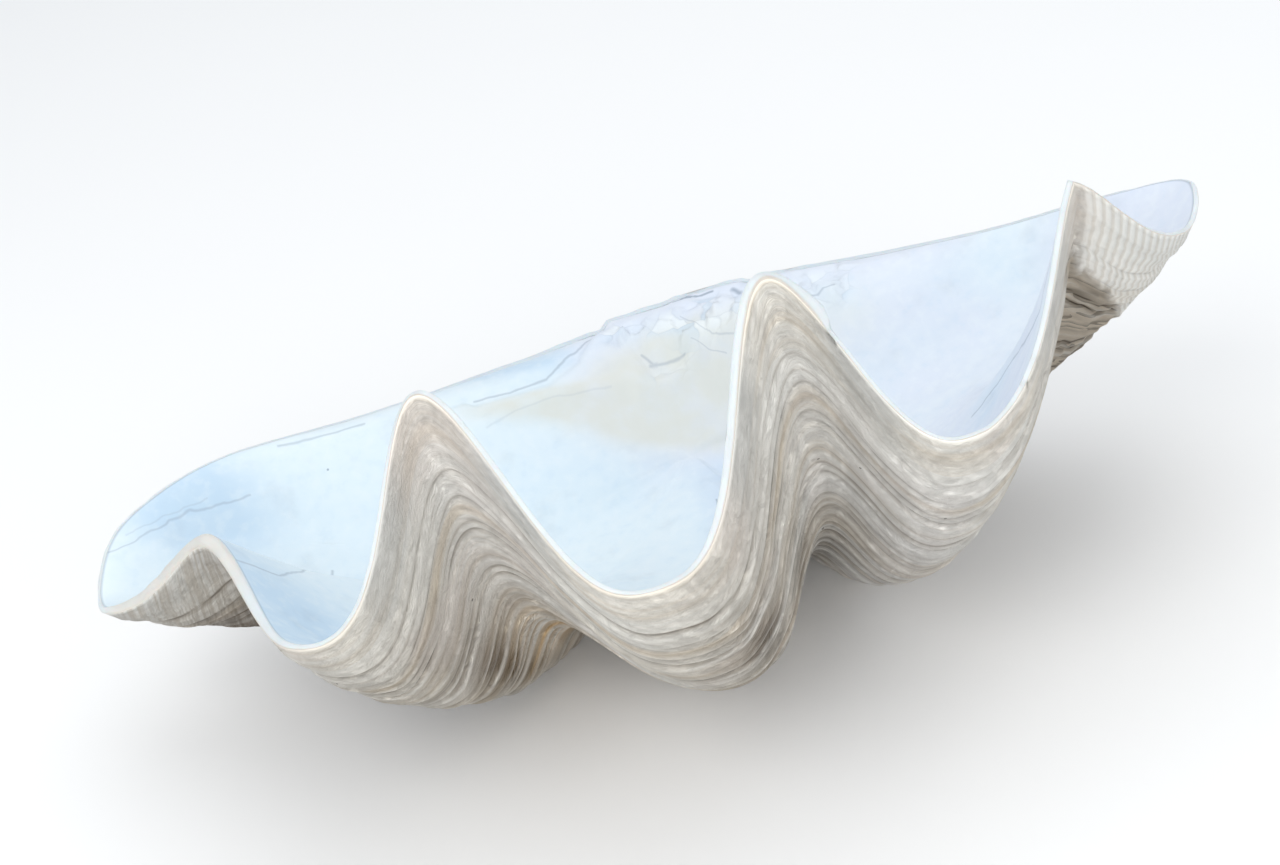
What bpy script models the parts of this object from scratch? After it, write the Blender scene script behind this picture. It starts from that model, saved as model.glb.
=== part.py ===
"""One valve of a giant clam, lying on its back with the hollow side up.

The valve is one closed solid. Its outer face is a growth surface: every earlier rim is the present
rim drawn back towards the umbo, turned down about it and with shallower folds. The inner face is the
same kind of surface, drawn back to a point on the slope below the hinge, and a rounded lip joins the
two.
"""

from typing import NamedTuple

import bmesh
import bpy
import numpy as np

MM = 0.001

# The whole valve, in the frame of the rim: +X to the right, +Y to the hinge, +Z out of the hollow.
UMBO = np.array((30.0, 45.0, -60.0)) * MM
BOWL_SLOPE = np.array((30.0, -88.0, -88.0)) * MM
LIP_THICKNESS = 7.0 * MM
LIP_ROUNDING = 2.0 * MM
REST_PITCH = np.radians(18.5)
REST_LEAN = np.radians(4.3)
WORN_DEPTH = 3.5 * MM

# How the rim of an earlier age differs from the present one.
TURN_POWER = 1.28
OUTER_FOLD_POWER = 1.15
INNER_FOLD_POWER = 2.2
INNER_TURN_SHARE = 0.57
FLANK_WARP = 1.55

# Growth ledges of the outer face.
LEDGES = 11
OLDEST_LEDGE = 0.30
LEDGE_HEIGHT = 2.6 * MM
LEDGE_RUN = 0.008

# Hinge plate: a low shelf along the back margin with one blunt tooth.
HINGE_RISE = 35.0 * MM
TOOTH_PLACE = np.array((75.0, -42.0)) * MM
TOOTH_SPREAD = np.array((45.0, 11.0)) * MM
TOOTH_HEIGHT = 7.0 * MM

FRONT_SAMPLES = 8
BACK_SAMPLES = 3
OUTER_TIP_AGES = (0.22, 0.15, 0.09, 0.04)
INNER_AGES = (1.0, 0.97, 0.93, 0.88, 0.82, 0.76, 0.69, 0.62, 0.55, 0.48, 0.41, 0.34, 0.27, 0.2, 0.13, 0.06)


class Station(NamedTuple):
    """One place on the rim.

    x, y and z are its position and middle is the height of the rim without folds, in mm.
    turn is how far its ray has turned down since the umbo, and lean how far the ray bends sideways
    in plan, in degrees. front is 1 on the fanned front and 0 at the hinge.
    """

    name: str
    x: float
    y: float
    z: float
    middle: float
    turn: float
    lean: float
    front: float


FRONT = (
    Station("left tip", -372, -115, -28, -35, 24, -7, 0.8),
    Station("rib 1", -376, -165, -63, -45, 29, -12, 0.95),
    Station("furrow 1", -285, -235, -25, -45, 48, -15, 1),
    Station("rib 2", -222, -367, -73, -30, 55, -13, 1),
    Station("furrow 2", -113, -385, 52, -12, 63, -13, 1),
    Station("rib 3", -16, -456, -75, -8, 64, 9, 1),
    Station("furrow 3", 90, -385, 58, -8, 66, 13, 1),
    Station("rib 4", 190, -366, -66, -8, 69, 17, 1),
    Station("furrow 4", 295, -275, 44, -8, 58, 18, 1),
    Station("rib 5", 376, -185, -22, -5, 38, 23, 0.95),
    Station("right tip", 408, -125, -1, -2, 26, 21, 0.8),
)
BACK = (
    Station("right shoulder", 364, -80, 0, 0, 22, 16, 0.55),
    Station("right margin", 290, -40, -5, -5, 13, 10, 0.3),
    Station("right of hinge", 199, -10, -4, -4, 6, 5, 0.1),
    Station("hinge right end", 101, 2, 0, 0, 3, 0, 0),
    Station("hinge", 0, 6, 0, 0, 3, 0, 0),
    Station("hinge left end", -100, -5, -2, -2, 3, 0, 0),
    Station("left of hinge", -190, -30, -3, -3, 6, 0, 0.1),
    Station("left margin", -282, -60, 0, 0, 13, -3, 0.3),
    Station("left shoulder", -335, -88, -8, -8, 25, -5, 0.55),
)
STATIONS = FRONT + BACK


def clear_scene():
    for obj in list(bpy.data.objects):
        bpy.data.objects.remove(obj, do_unlink=True)


def span_places():
    """The stretch of rim that each column lies on and how far along it the column is, 0 to 1."""
    samples = [FRONT_SAMPLES] * (len(FRONT) - 1) + [BACK_SAMPLES] * (len(BACK) + 1)
    spans = np.repeat(np.arange(len(STATIONS)), samples)
    shares = np.concatenate([np.arange(count) / count for count in samples])
    return spans, shares


def along_rim(values, spans, shares):
    """A smooth closed curve (Catmull-Rom) through one value or point per station."""
    values = np.asarray(values, float)
    count = len(values)
    before, here = values[(spans - 1) % count], values[spans]
    following, after = values[(spans + 1) % count], values[(spans + 2) % count]
    t = shares if values.ndim == 1 else shares[:, None]
    return 0.5 * (
        2 * here
        + (following - before) * t
        + (2 * before - 5 * here + 4 * following - after) * t**2
        + (3 * here - before - 3 * following + after) * t**3
    )


def rim_heights(spans, shares):
    """Height of the rim: round in the ribs, steep on the flanks and narrower over the furrows."""
    heights = along_rim([s.z * MM for s in STATIONS], spans, shares)
    for index in range(1, len(FRONT) - 2):
        low_first = STATIONS[index].name.startswith("rib")
        on_flank = spans == index
        from_rib = shares[on_flank] if low_first else 1 - shares[on_flank]
        rib, furrow = (index, index + 1) if low_first else (index + 1, index)
        climb = (1 - np.cos(np.pi * from_rib**FLANK_WARP)) / 2
        low, high = STATIONS[rib].z * MM, STATIONS[furrow].z * MM
        heights[on_flank] = low + (high - low) * climb
    return heights


class Rim:
    """The present rim, column by column, with what its rays need to grow back."""

    def __init__(self):
        spans, shares = span_places()
        plan = along_rim([(s.x * MM, s.y * MM) for s in STATIONS], spans, shares)
        self.points = np.column_stack([plan, rim_heights(spans, shares)])
        self.folds = self.points[:, 2] - along_rim([s.middle * MM for s in STATIONS], spans, shares)
        self.turns = np.radians(along_rim([s.turn for s in STATIONS], spans, shares))
        self.leans = np.radians(along_rim([s.lean for s in STATIONS], spans, shares))
        self.front = np.clip(along_rim([s.front for s in STATIONS], spans, shares), 0, 1)


def grow(rim, points, ages, turns, fold_power, pull):
    """Rows of points, one for each age from 1 at the rim down to the umbo.

    Each ray from the umbo to the rim is shortened by the age, turned down in its own upright plane,
    and swung sideways in plan. Folds fade as the age to fold_power. pull moves rows off the umbo.
    """
    age = np.asarray(ages)[:, None]
    ray = points - UMBO
    reach = np.hypot(ray[:, 0], ray[:, 1])
    plan_x, plan_y = ray[:, 0] / reach, ray[:, 1] / reach
    rise = ray[:, 2] - rim.folds + rim.folds * age**fold_power
    turned = turns * (1 - age**TURN_POWER)
    outward = age * (reach * np.cos(turned) + rise * np.sin(turned))
    upward = age * (rise * np.cos(turned) - reach * np.sin(turned))
    swing = rim.leans * (1 - age)
    x = outward * (plan_x * np.cos(swing) - plan_y * np.sin(swing))
    y = outward * (plan_x * np.sin(swing) + plan_y * np.cos(swing))
    return UMBO + pull + np.stack([x, y, upward], axis=2)


def row_normals(rows):
    """Unit normals of a grid of rows, pointing into the hollow."""
    around = np.roll(rows, -1, axis=1) - np.roll(rows, 1, axis=1)
    back = np.gradient(rows, axis=0)
    normals = np.cross(around, back)
    return normals / np.linalg.norm(normals, axis=2, keepdims=True)


def ledge_rows():
    """Ages of the outer rows, and how far each stands out, as a share of the ledge height."""
    edges = np.linspace(1.0, OLDEST_LEDGE, LEDGES + 1)[1:]
    ages = np.stack([edges + LEDGE_RUN / 2, edges - LEDGE_RUN / 2], axis=1).ravel()
    stands = np.tile((0.0, 1.0), LEDGES)
    tip = np.array(OUTER_TIP_AGES)
    return np.concatenate([[1.0], ages, tip]), np.concatenate([[0.0], stands, np.zeros(len(tip))])


def outer_face(rim):
    ages, stands = ledge_rows()
    rows = grow(rim, rim.points, ages, rim.turns, OUTER_FOLD_POWER, 0.0)
    ledge = stands[:, None] * rim.front**3 * LEDGE_HEIGHT
    return rows - row_normals(rows) * ledge[:, :, None]


def lip_rows(rim):
    """The inner edge of the rim and the rounded crest between it and the outer edge."""
    near_rim = grow(rim, rim.points, (1.0, 0.985, 0.97), rim.turns, OUTER_FOLD_POWER, 0.0)
    normals = row_normals(near_rim)[0]
    for _ in range(2):
        normals = np.roll(normals, 1, axis=0) + 2 * normals + np.roll(normals, -1, axis=0)
        normals /= np.linalg.norm(normals, axis=1, keepdims=True)
    inner = rim.points + normals * LIP_THICKNESS
    outward = near_rim[0] - near_rim[1]
    outward /= np.linalg.norm(outward, axis=1, keepdims=True)
    crest = (rim.points + inner) / 2 + outward * LIP_ROUNDING
    return inner, crest


def inner_face(rim, inner_edge):
    """The hollow: near the rim it follows the outer folds, then it settles to a smooth bowl."""
    age = np.array(INNER_AGES)[:, None]
    settle = (1 - rim.front) * (1 - age) + rim.front * (1 - 3 * age**2 + 2 * age**3)
    pull = settle[:, :, None] * (BOWL_SLOPE - UMBO)
    turns = rim.turns * INNER_TURN_SHARE * rim.front
    rows = grow(rim, inner_edge, INNER_AGES, turns, INNER_FOLD_POWER, pull)
    shelf = np.clip(1 - 2 * rim.front, 0, 1) * HINGE_RISE * np.sin(np.pi * age) * age
    away = (rows[:, :, :2] - TOOTH_PLACE) / TOOTH_SPREAD
    tooth = TOOTH_HEIGHT * np.exp(-(away**2).sum(axis=2))
    rows[:, :, 2] += shelf + tooth
    return rows


def rest_pose(points):
    """Turns the valve from the frame of its rim to the way it lies, the worn spots just below zero."""
    x, y, z = points.T
    x, z = x * np.cos(REST_LEAN) - z * np.sin(REST_LEAN), z * np.cos(REST_LEAN) + x * np.sin(REST_LEAN)
    y, z = y * np.cos(REST_PITCH) + z * np.sin(REST_PITCH), z * np.cos(REST_PITCH) - y * np.sin(REST_PITCH)
    middle_x, middle_y = (x.min() + x.max()) / 2, (y.min() + y.max()) / 2
    return np.column_stack([x - middle_x, y - middle_y, z - z.min() - WORN_DEPTH])


def shell_mesh():
    """The rows in one closed skin: umbo, outer rows, lip, inner rows and their last point."""
    rim = Rim()
    inner_edge, crest = lip_rows(rim)
    outer = outer_face(rim)[::-1]
    inner = inner_face(rim, inner_edge)
    rows = np.concatenate([outer, crest[None], inner])
    count, columns = rows.shape[:2]
    poles = np.array([outer[0].mean(axis=0), inner[-1].mean(axis=0)])
    points = rest_pose(np.concatenate([rows.reshape(-1, 3), poles]))

    here = np.arange(columns)
    right = np.roll(here, -1)
    start = np.arange(count - 1)[:, None] * columns
    corners = [start + here, start + right, start + columns + right, start + columns + here]
    quads = np.stack(corners, axis=2).reshape(-1, 4)
    first_pole, last_pole = count * columns, count * columns + 1
    last_row = (count - 1) * columns
    umbo_fan = [(first_pole, int(b), int(a)) for a, b in zip(here, right)]
    inner_fan = [(last_pole, last_row + int(a), last_row + int(b)) for a, b in zip(here, right)]
    mesh = bpy.data.meshes.new("shell")
    mesh.from_pydata(points.tolist(), [], quads.tolist() + umbo_fan + inner_fan)
    return mesh


def wear_flat(mesh):
    """Cuts the valve off at z = 0, which leaves the small flat spots it rests on."""
    shape = bmesh.new()
    shape.from_mesh(mesh)
    bmesh.ops.triangulate(shape, faces=shape.faces[:])
    everything = shape.verts[:] + shape.edges[:] + shape.faces[:]
    cut = bmesh.ops.bisect_plane(
        shape, geom=everything, dist=1e-6, plane_co=(0, 0, 0), plane_no=(0, 0, 1), clear_inner=True
    )
    loops = [edge for edge in cut["geom_cut"] if isinstance(edge, bmesh.types.BMEdge)]
    bmesh.ops.edgeloop_fill(shape, edges=loops)
    bmesh.ops.recalc_face_normals(shape, faces=shape.faces[:])
    shape.to_mesh(mesh)
    shape.free()


def shell_material():
    material = bpy.data.materials.new("shell")
    material.use_nodes = True
    surface = material.node_tree.nodes["Principled BSDF"]
    surface.inputs["Base Color"].default_value = (0.70, 0.67, 0.62, 1.0)
    surface.inputs["Roughness"].default_value = 0.5
    surface.inputs["Metallic"].default_value = 0.0
    return material


def build_shell():
    mesh = shell_mesh()
    wear_flat(mesh)
    mesh.shade_smooth()
    mesh.materials.append(shell_material())
    shell = bpy.data.objects.new("shell", mesh)
    bpy.context.scene.collection.objects.link(shell)
    return shell


clear_scene()
build_shell()
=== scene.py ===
"""Looks of the giant clam half shell: the finely grown valve, its finishes, the floor, light and camera."""

import logging
from abc import ABC, abstractmethod
from collections.abc import Callable
from dataclasses import dataclass
from enum import Enum
from typing import ClassVar

import bpy
import numpy as np
from mathutils import Matrix, Vector


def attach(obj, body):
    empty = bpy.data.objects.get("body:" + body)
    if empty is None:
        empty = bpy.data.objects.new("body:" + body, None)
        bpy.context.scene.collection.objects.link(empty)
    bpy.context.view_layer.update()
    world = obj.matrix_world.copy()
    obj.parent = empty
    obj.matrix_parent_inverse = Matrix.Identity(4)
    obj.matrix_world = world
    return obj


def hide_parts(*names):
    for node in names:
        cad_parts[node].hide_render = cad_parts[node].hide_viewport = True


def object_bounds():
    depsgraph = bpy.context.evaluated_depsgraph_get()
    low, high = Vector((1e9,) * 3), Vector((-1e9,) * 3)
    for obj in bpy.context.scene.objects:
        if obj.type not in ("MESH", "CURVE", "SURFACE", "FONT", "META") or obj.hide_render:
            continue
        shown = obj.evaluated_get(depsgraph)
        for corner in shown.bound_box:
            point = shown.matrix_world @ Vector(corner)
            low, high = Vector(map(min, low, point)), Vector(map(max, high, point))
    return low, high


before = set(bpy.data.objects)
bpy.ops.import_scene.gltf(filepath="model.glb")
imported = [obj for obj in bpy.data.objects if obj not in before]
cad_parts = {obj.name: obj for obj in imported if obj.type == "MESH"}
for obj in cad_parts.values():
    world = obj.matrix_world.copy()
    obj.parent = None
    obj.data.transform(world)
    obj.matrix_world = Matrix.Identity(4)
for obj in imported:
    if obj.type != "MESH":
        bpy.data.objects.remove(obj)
CAD_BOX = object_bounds()
MM = 0.001
Triple = tuple[float, float, float]
Colour = tuple[float, float, float, float]
log = logging.getLogger("clam")


def tint(red: int, green: int, blue: int) -> Colour:
    """A colour as seen on a screen, 0 to 255, turned into the linear values a shader takes.

    Args:
        red, green, blue: the colour on a screen.

    Returns:
        Linear red, green, blue and an alpha of 1.
    """
    share = np.array((red, green, blue)) / 255
    linear = np.where(share < 0.04045, share / 12.92, ((share + 0.055) / 1.055) ** 2.4)
    return (*(float(value) for value in linear), 1.0)


def ripple(points: np.ndarray, size: float, seed: int) -> np.ndarray:
    """Soft lumps: the mean of nine sine waves in random directions, each about one size long.

    Args:
        points: places, in metres, along the last axis.
        size: usual length of a wave, in metres.
        seed: which set of waves.

    Returns:
        One value for each point, mostly between -1 and 1.
    """
    draw = np.random.default_rng(seed)
    heading = draw.normal(size=(9, 3))
    heading /= np.linalg.norm(heading, axis=1, keepdims=True)
    length = size * draw.uniform(0.6, 1.7, 9)
    waves = np.sin(points @ (heading / length[:, None]).T * 2 * np.pi + draw.uniform(0, 2 * np.pi, 9))
    return waves.mean(axis=-1) * 1.8


def rise_between(values: np.ndarray, low: float, high: float) -> np.ndarray:
    """A soft step: 0 below low, 1 above high, and 3t squared less 2t cubed between.

    Args:
        values: where to take the step.
        low, high: where it begins and ends; with low above high it falls instead.

    Returns:
        The step at each value.
    """
    t = np.clip((values - low) / (high - low), 0, 1)
    return t * t * (3 - 2 * t)


class Fold(Enum):
    """What the rim does at a station."""

    TIP = "tip"
    RIB = "rib"
    FURROW = "furrow"
    BACK = "back"


class Face(Enum):
    """The parts of the skin; the value is the material slot."""

    OUTSIDE = 0
    EDGE = 1
    HOLLOW = 2


@dataclass(frozen=True)
class Station:
    """One place on the rim, in mm and degrees, in the frame of the rim.

    x, y and z are its place and middle the height of the rim without folds. turn is how far its ray
    has turned down since the umbo, lean how far the ray bends sideways, and front is 1 on the fan.
    """

    fold: Fold
    x: float
    y: float
    z: float
    middle: float
    turn: float
    lean: float
    front: float


FAN = (
    Station(Fold.TIP, -372, -115, -28, -35, 24, -7, 0.8),
    Station(Fold.RIB, -376, -165, -63, -45, 29, -12, 0.95),
    Station(Fold.FURROW, -285, -235, -25, -45, 48, -15, 1),
    Station(Fold.RIB, -222, -367, -73, -30, 55, -13, 1),
    Station(Fold.FURROW, -113, -385, 52, -12, 63, -13, 1),
    Station(Fold.RIB, -16, -456, -75, -8, 64, 9, 1),
    Station(Fold.FURROW, 90, -385, 58, -8, 66, 13, 1),
    Station(Fold.RIB, 190, -366, -66, -8, 69, 17, 1),
    Station(Fold.FURROW, 295, -275, 44, -8, 58, 18, 1),
    Station(Fold.RIB, 376, -185, -22, -5, 38, 23, 0.95),
    Station(Fold.TIP, 408, -125, -1, -2, 26, 21, 0.8),
)
HINGE_SIDE = (
    Station(Fold.BACK, 364, -80, 0, 0, 22, 16, 0.55),
    Station(Fold.BACK, 290, -40, -5, -5, 13, 10, 0.3),
    Station(Fold.BACK, 199, -10, -4, -4, 6, 5, 0.1),
    Station(Fold.BACK, 101, 2, 0, 0, 3, 0, 0),
    Station(Fold.BACK, 0, 6, 0, 0, 3, 0, 0),
    Station(Fold.BACK, -100, -5, -2, -2, 3, 0, 0),
    Station(Fold.BACK, -190, -30, -3, -3, 6, 0, 0.1),
    Station(Fold.BACK, -282, -60, 0, 0, 13, -3, 0.3),
    Station(Fold.BACK, -335, -88, -8, -8, 25, -5, 0.55),
)


@dataclass
class Rim:
    """The present rim, column by column.

    place is the rim in metres, folds its height over the unfolded rim, turns and leans are in
    radians, station counts the stations along it and along is the way round it in metres.
    """

    place: np.ndarray
    folds: np.ndarray
    turns: np.ndarray
    leans: np.ndarray
    front: np.ndarray
    station: np.ndarray
    along: np.ndarray


@dataclass
class RimLine:
    """The stations of the rim, how closely it is sampled, and how the hinge edge is broken.

    broken_by is how far, in mm, the edge stands over or under its smooth line at each broken_at.
    """

    stations: tuple[Station, ...] = FAN + HINGE_SIDE
    fan_samples: int = 52
    back_samples: tuple[int, ...] = (10, 10, 14, 28, 32, 32, 24, 14, 10, 10)
    flank_warp: float = 1.55
    peaked_furrow: int = 8
    peak: float = 0.6
    broken_at: tuple[float, ...] = (
        12.2, 12.9, 13.4, 13.84, 13.9, 13.97, 14.1, 14.48, 14.54, 15.0, 15.07, 15.15, 15.6, 16.4, 17.1, 18,
    )
    broken_by: tuple[float, ...] = (0, 1.5, 4, 6, 3, 6.5, 7, 6.5, 5, 4, -1.5, -0.5, -3, -3.5, -2, 0)

    def spans(self) -> tuple[np.ndarray, np.ndarray]:
        """Gives each column its stretch of rim and how far along it the column lies.

        Returns:
            The index of the stretch and the share of it, 0 to 1.
        """
        samples = [self.fan_samples] * (len(FAN) - 1) + list(self.back_samples)
        span = np.repeat(np.arange(len(self.stations)), samples)
        share = np.concatenate([np.arange(count) / count for count in samples])
        return span, share

    def through(self, values: np.ndarray, span: np.ndarray, share: np.ndarray) -> np.ndarray:
        """A smooth closed curve through one value or point a station.

        Each stretch is a cubic whose slope at a station is half the way between its neighbours.

        Args:
            values: one value, or one row, for each station.
            span, share: the columns, as spans gives them.

        Returns:
            One value or row for each column.
        """
        count = len(values)
        before, here = values[(span - 1) % count], values[span]
        following, after = values[(span + 1) % count], values[(span + 2) % count]
        t = share if values.ndim == 1 else share[:, None]
        return 0.5 * (
            2 * here
            + (following - before) * t
            + (2 * before - 5 * here + 4 * following - after) * t**2
            + (3 * here - before - 3 * following + after) * t**3
        )

    def heights(self, smooth: np.ndarray, span: np.ndarray, share: np.ndarray) -> np.ndarray:
        """Makes the flanks of the fan rise as half a cosine wave of the share to the power flank_warp.

        Beside the peaked furrow they rise partly straight, which leaves it a sharp corner.

        Args:
            smooth: the heights of the smooth curve, kept outside the fan.
            span, share: the columns.

        Returns:
            The height of each column, in metres.
        """
        heights = smooth.copy()
        for index in range(1, len(FAN) - 2):
            low_first = self.stations[index].fold is Fold.RIB
            on_flank = span == index
            from_rib = share[on_flank] if low_first else 1 - share[on_flank]
            rib, furrow = (index, index + 1) if low_first else (index + 1, index)
            climb = (1 - np.cos(np.pi * from_rib**self.flank_warp)) / 2
            if furrow == self.peaked_furrow:
                climb += self.peak * (from_rib**1.5 - climb)
            low, high = self.stations[rib].z * MM, self.stations[furrow].z * MM
            heights[on_flank] = low + (high - low) * climb
        return heights

    def measure(self) -> Rim:
        """Works out the rim at every column.

        Returns:
            The rim.
        """
        span, share = self.spans()
        table = np.array([(s.x, s.y, s.z, s.middle, s.turn, s.lean, s.front) for s in self.stations])
        curve = self.through(table, span, share)
        height = self.heights(curve[:, 2] * MM, span, share)
        height += np.interp(span + share, self.broken_at, self.broken_by) * MM
        place = np.column_stack([curve[:, :2] * MM, height])
        pace = np.linalg.norm(np.diff(place, axis=0, append=place[:1]), axis=1)
        return Rim(
            place=place,
            folds=height - curve[:, 3] * MM,
            turns=np.radians(curve[:, 4]),
            leans=np.radians(curve[:, 5]),
            front=np.clip(curve[:, 6], 0, 1),
            station=span + share,
            along=np.concatenate([[0.0], np.cumsum(pace)[:-1]]),
        )


@dataclass
class Growth:
    """How the rim of an earlier age lies: drawn back to the umbo, turned down and less folded."""

    umbo: Triple = (30, 45, -60)
    turn_power: float = 1.28

    def rows(
        self, rim: Rim, edge: np.ndarray, age: np.ndarray, turns: np.ndarray, fold_power: float
    ) -> np.ndarray:
        """Rows of points, one for each age.

        A ray from the umbo to the edge is shortened by the age, turned down in its own upright
        plane by turns times one less age to turn_power, and swung sideways by its lean times one
        less age. The folds fade as age to fold_power.

        Args:
            rim: the present rim.
            edge: where age 1 lies, a point for each column.
            age: ages, as a column of rows or a full grid.
            turns: how far each ray turns in all, in radians.
            fold_power: how soon the folds fade.

        Returns:
            A grid of points in metres.
        """
        umbo = np.array(self.umbo) * MM
        ray = edge - umbo
        reach = np.hypot(ray[:, 0], ray[:, 1])
        plan_x, plan_y = ray[:, 0] / reach, ray[:, 1] / reach
        rise = ray[:, 2] - rim.folds + rim.folds * age**fold_power
        turned = turns * (1 - age**self.turn_power)
        outward = age * (reach * np.cos(turned) + rise * np.sin(turned))
        upward = age * (rise * np.cos(turned) - reach * np.sin(turned))
        swing = rim.leans * (1 - age)
        x = outward * (plan_x * np.cos(swing) - plan_y * np.sin(swing))
        y = outward * (plan_x * np.sin(swing) + plan_y * np.cos(swing))
        return umbo + np.stack([x, y, upward], axis=2)

    @staticmethod
    def normals(rows: np.ndarray) -> np.ndarray:
        """Unit normals of a grid, towards the hollow: across the columns times along the rows.

        Args:
            rows: the grid of points.

        Returns:
            A grid of unit vectors.
        """
        around = np.roll(rows, -1, axis=1) - np.roll(rows, 1, axis=1)
        normal = np.cross(around, np.gradient(rows, axis=0))
        return normal / np.linalg.norm(normal, axis=2, keepdims=True)


@dataclass
class Skin:
    """One part of the surface: a grid of points with the values its finish reads.

    A value can be one number, a row for all rows or a column for all columns.
    """

    points: np.ndarray
    values: dict[str, np.ndarray | float]

    def grid(self, name: str) -> np.ndarray:
        """A value at every point, 0 where the part has none of that name."""
        return np.broadcast_to(self.values.get(name, 0.0), self.points.shape[:2])


@dataclass(frozen=True)
class Spot:
    """A soft spot on the outside, at a station along the rim and a way back from the rim."""

    station: float
    spread: float
    grown: float
    reach: float
    amount: float = 1.0

    def over(self, station: np.ndarray, grown: np.ndarray) -> np.ndarray:
        """A bell over the stations and the growth, as high as the amount."""
        away = ((station - self.station) / self.spread) ** 2 + ((grown - self.grown) / self.reach) ** 2
        return self.amount * np.exp(-away)


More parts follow.
